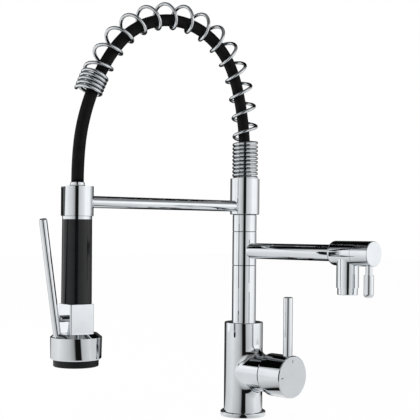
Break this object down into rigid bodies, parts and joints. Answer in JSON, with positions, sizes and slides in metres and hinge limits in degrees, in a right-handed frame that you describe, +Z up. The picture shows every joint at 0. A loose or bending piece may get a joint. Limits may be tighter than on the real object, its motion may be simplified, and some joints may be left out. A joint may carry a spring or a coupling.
{
  "type": "kitchen mixer tap",
  "caption": "Deck-mounted side-lever kitchen mixer with a spring arch hose, docked trigger handset and a second swivel spout with its own quarter-turn valve.",
  "frame": {"origin": "centre of the base flange's underside, on the deck", "axes": "+Z up the column, +X along the side spout and the handle stub at rest"},
  "size_m": [0.2328, 0.2694, 0.4415],
  "materials": {
    "chrome": "polished",
    "steel": "satin",
    "brass": "machined",
    "cartridge_plastic": "matt",
    "washer_plastic": "matt",
    "seal_rubber": "matt",
    "hose_rubber": "matt",
    "grip_plastic": "gloss",
    "nozzle_plastic": "satin",
    "mark_grey": "matt"
  },
  "bodies": {
    "tap_body": {"base_flange": "chrome", "base_gasket": "seal_rubber", "main_body": "chrome", "riser_core": "brass", "riser_lower": "chrome", "slide_washer_low": "washer_plastic", "slide_washer_high": "washer_plastic", "slide_washer_top": "washer_plastic", "riser_upper": "chrome", "swivel_seals": "seal_rubber", "cartridge_body": "cartridge_plastic", "cartridge_nut": "brass", "trim_ring": "chrome"},
    "handle_turret": {"cartridge_turret": "cartridge_plastic", "stem_pin": "steel"},
    "handle": {"handle_stem": "brass", "handle_cap": "chrome", "handle_lever": "chrome", "handle_screw": "steel", "index_mark_top": "mark_grey", "index_mark_side": "mark_grey"},
    "side_spout": {"spout_collar": "chrome", "spout_tube": "chrome", "spout_valve_body": "chrome", "valve_headwork": "brass", "aerator_housing": "chrome", "aerator_insert": "cartridge_plastic", "aerator_washer": "seal_rubber"},
    "spout_valve": {"valve_cap": "chrome", "valve_spindle": "brass", "valve_lever_neck": "chrome", "valve_lever_knob": "chrome"},
    "spring_arm": {"spring_socket": "chrome", "socket_screw": "steel", "hose_nipple": "brass", "lower_ferrule": "steel", "arch_spring": "chrome", "hose_arch": "hose_rubber", "docking_arm": "chrome", "docking_ring": "chrome"},
    "hose_end": {"hose_drop": "hose_rubber", "upper_ferrule": "chrome", "hose_nut": "chrome"},
    "handset": {"handset_neck": "grip_plastic", "grip_ring": "chrome", "grip_shell": "grip_plastic", "water_tube": "brass", "valve_block": "chrome", "spray_housing": "chrome", "nozzle_plate": "nozzle_plastic", "trigger_pin": "steel", "plunger_spring": "steel"},
    "trigger": {"trigger_lever": "chrome"},
    "plunger": {"trigger_plunger": "steel"}
  },
  "joints": [
    {"name": "handle_turn", "type": "hinge", "parent": "tap_body", "child": "handle_turret", "pos_m": [0, 0, 0.0495], "axis": [1, 0, 0], "range_deg": [-45, 45]},
    {"name": "handle_lift", "type": "hinge", "parent": "handle_turret", "child": "handle", "pos_m": [0.045, 0, 0.0495], "axis": [0, 1, 0], "range_deg": [0, 15]},
    {"name": "spout_swivel", "type": "hinge", "parent": "tap_body", "child": "side_spout", "pos_m": [0, 0, 0.1815], "axis": [0, 0, 1], "continuous": true},
    {"name": "spout_valve_turn", "type": "hinge", "parent": "side_spout", "child": "spout_valve", "pos_m": [0.164, 0, 0.1815], "axis": [1, 0, 0], "range_deg": [0, 90]},
    {"name": "arm_swivel", "type": "hinge", "parent": "tap_body", "child": "spring_arm", "pos_m": [0, 0, 0.2415], "axis": [0, 0, 1], "continuous": true},
    {"name": "handset_pull", "type": "slide", "parent": "spring_arm", "child": "hose_end", "axis": [0, 0, -1], "range_m": [0, 0.06], "deforming": ["hose_drop"]},
    {"name": "handset_turn", "type": "hinge", "parent": "hose_end", "child": "handset", "pos_m": [-0.03238, -0.20445, 0.24], "axis": [0, 0, 1], "range_deg": [-90, 90]},
    {"name": "trigger_squeeze", "type": "hinge", "parent": "handset", "child": "trigger", "pos_m": [-0.03553, -0.2243, 0.097], "axis": [-0.9877, 0.1564, 0], "range_deg": [0, 6.5], "stiffness_Nm_per_rad": 0.6, "springref_deg": -4.58},
    {"name": "plunger_push", "type": "slide", "parent": "handset", "child": "plunger", "axis": [0.1564, 0.9877, 0], "range_m": [0, 0.00192], "deforming": ["plunger_spring"]}
  ],
  "couplings": [
    {"joint": "plunger_push", "follows": "trigger_squeeze", "m_per_rad": 0.0168}
  ]
}
